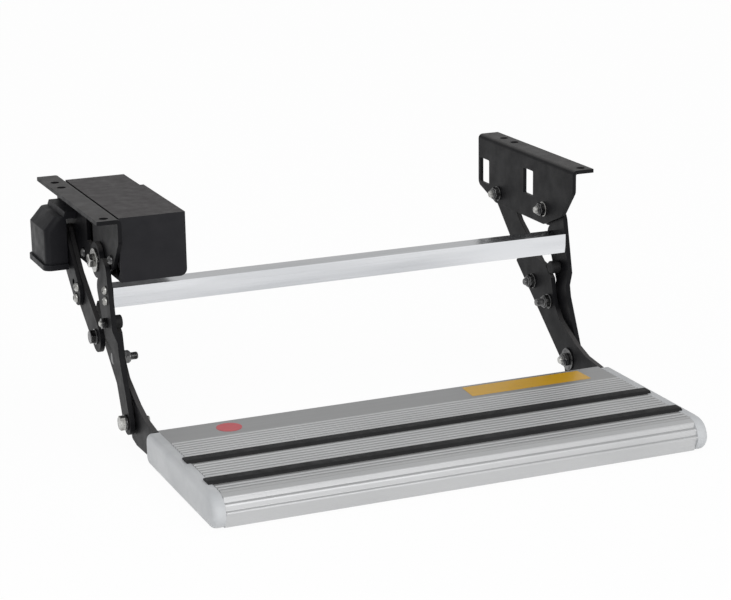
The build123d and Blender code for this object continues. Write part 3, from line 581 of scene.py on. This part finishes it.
def chamferEnd(bm, end, way, flats, turn):
    slope = math.radians(hexLook["chamferAngle"])
    for cut in range(hexLook["chamferCuts"]):
        angle = math.radians(turn) + cut * math.tau / hexLook["chamferCuts"]
        outward = Vector((0, math.cos(angle), math.sin(angle)))
        normal = outward * math.sin(slope) + Vector((way * math.cos(slope), 0, 0))
        touch = outward * flats / 2 * hexLook["flat"] * mm + Vector((end * mm, 0, 0))
        everything = bm.verts[:] + bm.edges[:] + bm.faces[:]
        sliced = bmesh.ops.bisect_plane(bm, geom=everything, dist=1e-7, plane_co=touch, plane_no=normal,
                                        clear_outer=True)
        rim = [item for item in sliced["geom_cut"] if isinstance(item, bmesh.types.BMEdge)]
        if rim:
            bmesh.ops.edgeloop_fill(bm, edges=rim)


def hexagonBar(start, end, flats, turn, cutBoth=False):
    bm = bmesh.new()
    bmesh.ops.create_circle(bm, cap_ends=True, segments=6, radius=flats / math.sqrt(3) * mm)
    pullOut(bm, bm.faces[:], (0, 0, (end - start) * mm))
    bmesh.ops.recalc_face_normals(bm, faces=bm.faces)
    upright = Matrix.Rotation(math.radians(turn), 4, "X") @ Matrix.Rotation(math.pi / 2, 4, "Y")
    bmesh.ops.transform(bm, matrix=Matrix.Translation((start * mm, 0, 0)) @ upright, verts=bm.verts)
    chamferEnd(bm, end, 1, flats, turn)
    if cutBoth:
        chamferEnd(bm, start, -1, flats, turn)
    bmesh.ops.recalc_face_normals(bm, faces=bm.faces)
    return bm


threadLook = {"radius": 4.0, "pitch": 1.25, "depth": 0.6, "tip": 1.4}      # of an 8 mm thread


def threadedRod(start, end, radius, threadEnd):
    share = radius / threadLook["radius"]
    pitch, depth = threadLook["pitch"] * share, threadLook["depth"] * share
    profile = [(start, 0), (start, radius - threadLook["tip"] * depth), (start + depth, radius - depth)]
    x = start + depth + pitch / 2
    while x + pitch / 2 < threadEnd:
        profile += [(x, radius), (x + pitch / 2, radius - depth)]
        x += pitch
    profile += [(min(x, end), radius), (end, radius), (end, 0)]
    return turned(profile, steps=32)


ringLook = {"bore": 4.0, "roll": 0.35}


def rolledRing(start, end, radius, hole):
    roll = min(ringLook["roll"], (end - start) / 4)
    return turned([(start, hole), (start, radius - roll), (start + roll, radius), (end - roll, radius),
                   (end, radius - roll), (end, hole)], closed=True, steps=48)


collarLook = {"height": 1.9, "overlap": 0.5, "radius": 5.9, "mouth": 1.3, "roll": 0.45, "shoulder": 1.0}


def nylonCollar(start, hole):
    end = start + collarLook["height"] + collarLook["overlap"]
    radius, roll = collarLook["radius"], collarLook["roll"]
    return turned([(start, hole), (start, radius - collarLook["mouth"]), (start + roll, radius - roll),
                   (start + collarLook["shoulder"], radius), (end, radius), (end, hole)], closed=True)


socketLook = {"crown": [(0.0, 0.97), (0.12, 1.0), (0.4, 0.96), (0.78, 0.78), (1.0, 0.52)],
              "drive": 0.44, "depth": 0.55, "driveCuts": 5}      # shares of height and radius


def socketHead(start, end, radius):
    height = end - start
    crown = [(start + height * along, radius * share) for along, share in socketLook["crown"]]
    bm = turned([(start, 0)] + crown, steps=36)
    drive = bmesh.ops.create_circle(bm, cap_ends=True, segments=6,
                                    radius=radius * socketLook["drive"] * mm)["verts"]
    upright = Matrix.Translation((end * mm, 0, 0)) @ Matrix.Rotation(math.pi / 2, 4, "Y")
    bmesh.ops.transform(bm, matrix=upright, verts=drive)
    hexEdges = list({edge for vert in drive for edge in vert.link_edges})
    bmesh.ops.subdivide_edges(bm, edges=hexEdges, cuts=socketLook["driveCuts"])
    drop = [face for face in bm.faces if all(abs(vert.co.x - end * mm) < 1e-7 for vert in face.verts)]
    pullOut(bm, drop, (-height * socketLook["depth"] * mm, 0, 0))
    bmesh.ops.delete(bm, geom=drop, context="FACES_ONLY")
    bmesh.ops.bridge_loops(bm, edges=[edge for edge in bm.edges if edge.is_boundary])
    bmesh.ops.recalc_face_normals(bm, faces=bm.faces)
    return bm


boltLook = {"head": 5.3, "flats": 13.0, "radius": 4.0, "bore": 3.0, "skirt": 0.45, "skirtRadius": 6.2,
            "headLift": 0.35, "sunk": 0.5, "thread": 11.0}
nutLook = {"flats": 13.0, "smallFlats": 10.0, "bore": 3.9, "washer": 1.6, "washerRadius": 8.0}


def boltSet(spot, turn):
    near, head = spot["near"], spot["far"] - boltLook["head"]
    return [hexagonBar(head + boltLook["headLift"], spot["far"], boltLook["flats"], turn),
            rolledRing(head, head + boltLook["skirt"], boltLook["skirtRadius"], boltLook["bore"]),
            threadedRod(near, head + boltLook["sunk"], boltLook["radius"], near + boltLook["thread"])]


kneeLook = {"shank": 4.35, "shankEnd": 1.0, "stud": 4.0, "studThread": 9.0}


def kneeSet(spot, turn):
    head, radius = spot["far"] - boltLook["head"], kneeLook["shank"]
    end = head - kneeLook["shankEnd"]
    return [hexagonBar(head, spot["far"], boltLook["flats"], turn),
            rolledRing(head - nutLook["washer"], head, nutLook["washerRadius"], boltLook["bore"]),
            turned([(spot["near"], 0), (spot["near"], radius), (end, radius), (end, 0)])]


def nutSet(spot, turn, washer=0.0):
    nutEnd = spot["far"] - washer
    pieces = [hexagonBar(spot["near"] + collarLook["height"], nutEnd, nutLook["flats"], turn, cutBoth=True),
              nylonCollar(spot["near"], nutLook["bore"])]
    if washer:
        pieces.append(rolledRing(nutEnd, spot["far"], nutLook["washerRadius"], nutLook["bore"]))
    return pieces


def washeredNutSet(spot, turn):
    return nutSet(spot, turn, nutLook["washer"])


def smallNutSet(spot, turn):
    return [hexagonBar(spot["near"], spot["far"], nutLook["smallFlats"], turn, cutBoth=True)]


stopLook = {"head": 5.1, "radius": 6.0, "round": 0.4, "stud": 4.0, "sunk": 0.2, "plain": 5.0}


def stopStudSet(spot, turn):
    head, end = spot["far"] - stopLook["head"], spot["far"]
    radius, edge = stopLook["radius"], stopLook["round"]
    return [turned([(head, 0), (head, radius - edge), (head + edge, radius), (end - edge, radius),
                    (end, radius - edge), (end, 0)]),
            threadedRod(spot["near"], head + stopLook["sunk"], stopLook["stud"], head - stopLook["plain"])]


def kneeStudSet(spot, turn):
    return [threadedRod(spot["near"], spot["far"], kneeLook["stud"], spot["near"] + kneeLook["studThread"])]


bufferLook = {"stud": 3.0, "thread": 7.0}


def bufferStudSet(spot, turn):
    bm = threadedRod(-spot["far"], -spot["near"], bufferLook["stud"], bufferLook["thread"] - spot["far"])
    bmesh.ops.transform(bm, matrix=Matrix.Rotation(math.pi, 4, "Z"), verts=bm.verts)
    return [bm]


screwLook = {"tip": 0.8, "tipHeight": 1.0, "sunk": 0.3}


def screwSet(headHeight, headRadius, shankRadius):
    def make(spot, turn):
        near, head = spot["near"], spot["far"] - headHeight
        end = head + screwLook["sunk"]
        shank = [(near, 0), (near, shankRadius * screwLook["tip"]),
                 (near + screwLook["tipHeight"], shankRadius), (end, shankRadius), (end, 0)]
        return [socketHead(head, spot["far"], headRadius), turned(shank, steps=24)]
    return make


def ringSet(spot, turn):
    return [rolledRing(spot["near"], spot["far"], spot["r"], ringLook["bore"])]


fastenerSets = {
    "front_pivot_bolts": boltSet, "rear_pivot_bolt": boltSet, "lower_pivot_bolts": boltSet,
    "knee_bolts": kneeSet,
    "front_pivot_nuts": nutSet, "rear_pivot_nut": nutSet, "lower_pivot_nuts": nutSet,
    "knee_nuts": washeredNutSet, "stop_nuts": washeredNutSet,
    "knee_studs": kneeStudSet, "stop_studs": stopStudSet, "knee_spacers": ringSet,
    "front_pivot_washers": ringSet, "rear_pivot_washers": ringSet, "lower_pivot_washers": ringSet,
    "buffer_studs": bufferStudSet, "buffer_nuts": smallNutSet,
    "crossbar_screws": screwSet(3.2, 4.5, 2.1), "crank_screws": screwSet(3.4, 5.0, 3.0),
    "motor_mount_bolts": screwSet(3.6, 5.0, 3.0),
}
dullNodes = ["rear_pivot_washers", "rear_pivot_nut", "front_pivot_nuts", "knee_nuts", "stop_nuts",
             "buffer_nuts", "knee_bolts", "knee_studs", "stop_studs", "motor_mount_bolts",
             "lower_pivot_nuts", "lower_pivot_washers"]
pieceLook = {"edge": 0.12, "firstTurn": 12, "turnPerPiece": 17, "turnPerKind": 23}      # turns in degrees


def dressFasteners(node, makeSet, number):
    whole = bmesh.new()
    for count, spot in enumerate(islandsOf(node)):
        turn = pieceLook["firstTurn"] + pieceLook["turnPerPiece"] * count + pieceLook["turnPerKind"] * number
        for shape in makeSet(spot, turn):
            fresh = joinShape(whole, shape)
            facing = Matrix.Identity(4) if spot["side"] > 0 else Matrix.Rotation(math.pi, 4, "Z")
            shift = Matrix.Translation((0, spot["y"] * mm, spot["z"] * mm))
            bmesh.ops.transform(whole, matrix=shift @ facing, verts=fresh)
    piece = meshPiece(node + "_detailed", whole, 30)
    easeSharpEdges(piece, pieceLook["edge"], 1, 50)
    standFor(piece, node, "dark_steel" if node in dullNodes else None)


for number, (node, makeSet) in enumerate(fastenerSets.items()):
    dressFasteners(node, makeSet, number)
print("fasteners made:", len(fastenerSets))

for node, obj in frame["nodes"].items():      # the rest keep their own shapes
    if node not in dressedNodes:
        obj.data.materials.clear()
        obj.data.materials.append(finishes[slotOf[node]])


# Colour fields on the tread's plain rear band

fieldLook = {"thick": 0.18, "yellowCorners": [(80, -162.5), (211, -162.5), (212, -190.5), (78, -191.5)],
             "cornerRound": 1.5, "redCentre": (-172.5, -177.5), "redRadius": 12.5}


def colourField(name, bm, finish):
    pullOut(bm, bm.faces[:], (0, 0, fieldLook["thick"] * mm))
    bmesh.ops.recalc_face_normals(bm, faces=bm.faces)
    place(meshPiece(name, bm), "tread", finishes[finish])


def yellowField():
    bm = bmesh.new()
    verts = [bm.verts.new((x * mm, y * mm, topZ * mm)) for x, y in fieldLook["yellowCorners"]]
    bm.faces.new(verts)
    bmesh.ops.bevel(bm, geom=verts, offset=fieldLook["cornerRound"] * mm, segments=6, profile=0.5,
                    affect="VERTICES", material=-1)
    bmesh.ops.recalc_face_normals(bm, faces=bm.faces)
    colourField("yellow_field", bm, "label_yellow")


def redDisc():
    bm = bmesh.new()
    x, y = fieldLook["redCentre"]
    bmesh.ops.create_circle(bm, cap_ends=True, segments=64, radius=fieldLook["redRadius"] * mm,
                            matrix=Matrix.Translation((x * mm, y * mm, topZ * mm)))
    colourField("red_field", bm, "label_red")


yellowField()
redDisc()
print("colour fields placed")


# Camera, floor and light

shot = {"lens": 105.263, "sensor": 36.0, "near": 0.05, "far": 60, "at": (-0.79233, -2.01404, 0.46899),
        "turn": (74.47495, 0.86875, -22.79706)}
studio = {"white": (0.97, 0.97, 0.97), "front": 0.82, "back": 0.55, "blend": 0.7, "floorGlow": 0.95,
          "floorHalf": 9.0, "floorGap": 0.0005, "aim": (0, -0.1, -0.12)}
lamps = [
    {"name": "keyPanel", "at": (-1.7, -2.3, 1.9), "size": 1.8, "power": 17},
    {"name": "frontPanel", "at": (0.1, -2.8, 0.5), "size": 2.0, "power": 17},
]


def placeCamera():
    camera = bpy.data.objects.new("camera", bpy.data.cameras.new("camera"))
    bpy.context.scene.collection.objects.link(camera)
    camera.data.lens = shot["lens"]
    camera.data.sensor_width = shot["sensor"]
    camera.data.clip_start = shot["near"]
    camera.data.clip_end = shot["far"]
    camera.location = shot["at"]
    camera.rotation_euler = [math.radians(angle) for angle in shot["turn"]]
    bpy.context.scene.camera = camera


def paleFloor():
    mat, tree, shader = startMaterial("paleFloor", studio["white"], 0.0, 0.9)
    glow = tree.nodes.new("ShaderNodeEmission")
    glow.inputs["Color"].default_value = (1, 1, 1, 1)
    path = tree.nodes.new("ShaderNodeLightPath")
    seen = tree.nodes.new("ShaderNodeMath")
    seen.operation = "MAXIMUM"
    tree.links.new(path.outputs["Is Camera Ray"], seen.inputs[0])
    tree.links.new(path.outputs["Is Glossy Ray"], seen.inputs[1])
    blend = tree.nodes.new("ShaderNodeMixShader")
    tree.links.new(product(tree, seen.outputs[0], studio["floorGlow"]), blend.inputs[0])
    tree.links.new(shader.outputs[0], blend.inputs[1])
    tree.links.new(glow.outputs[0], blend.inputs[2])
    tree.links.new(blend.outputs[0], tree.nodes["Material Output"].inputs["Surface"])
    return mat


def layFloor():
    bm = bmesh.new()
    bmesh.ops.create_grid(bm, x_segments=1, y_segments=1, size=studio["floorHalf"],
                          matrix=Matrix.Translation((0, 0, cadLow.z - studio["floorGap"])))
    floor = meshPiece("floor", bm)
    floor.data.materials.append(paleFloor())


def softTent():
    world = bpy.data.worlds.new("studio")      # brighter in front of the step than behind it
    bpy.context.scene.world = world
    world.use_nodes = True
    tree = world.node_tree
    background = tree.nodes["Background"]
    background.inputs["Color"].default_value = (1, 1, 1, 1)
    depth = coordinate(tree, "Generated", "Y")
    light = valueRange(tree, depth, studio["front"], studio["back"], -studio["blend"], studio["blend"])
    path = tree.nodes.new("ShaderNodeLightPath")
    bright = tree.nodes.new("ShaderNodeMapRange")
    tree.links.new(path.outputs["Is Camera Ray"], bright.inputs["Value"])
    tree.links.new(light, bright.inputs["To Min"])
    bright.inputs["To Max"].default_value = 1.0
    tree.links.new(bright.outputs["Result"], background.inputs["Strength"])


def hangPanel(lamp):
    data = bpy.data.lights.new(lamp["name"], "AREA")
    data.shape = "DISK"
    data.size = lamp["size"]
    data.energy = lamp["power"]
    panel = bpy.data.objects.new(lamp["name"], data)
    bpy.context.scene.collection.objects.link(panel)
    panel.location = lamp["at"]
    panel.rotation_euler = (Vector(studio["aim"]) - Vector(lamp["at"])).to_track_quat("-Z", "Y").to_euler()


placeCamera()
layFloor()
softTent()
for lamp in lamps:
    hangPanel(lamp)
bpy.context.scene.view_settings.view_transform = "Standard"
print("camera, floor and lamps placed")
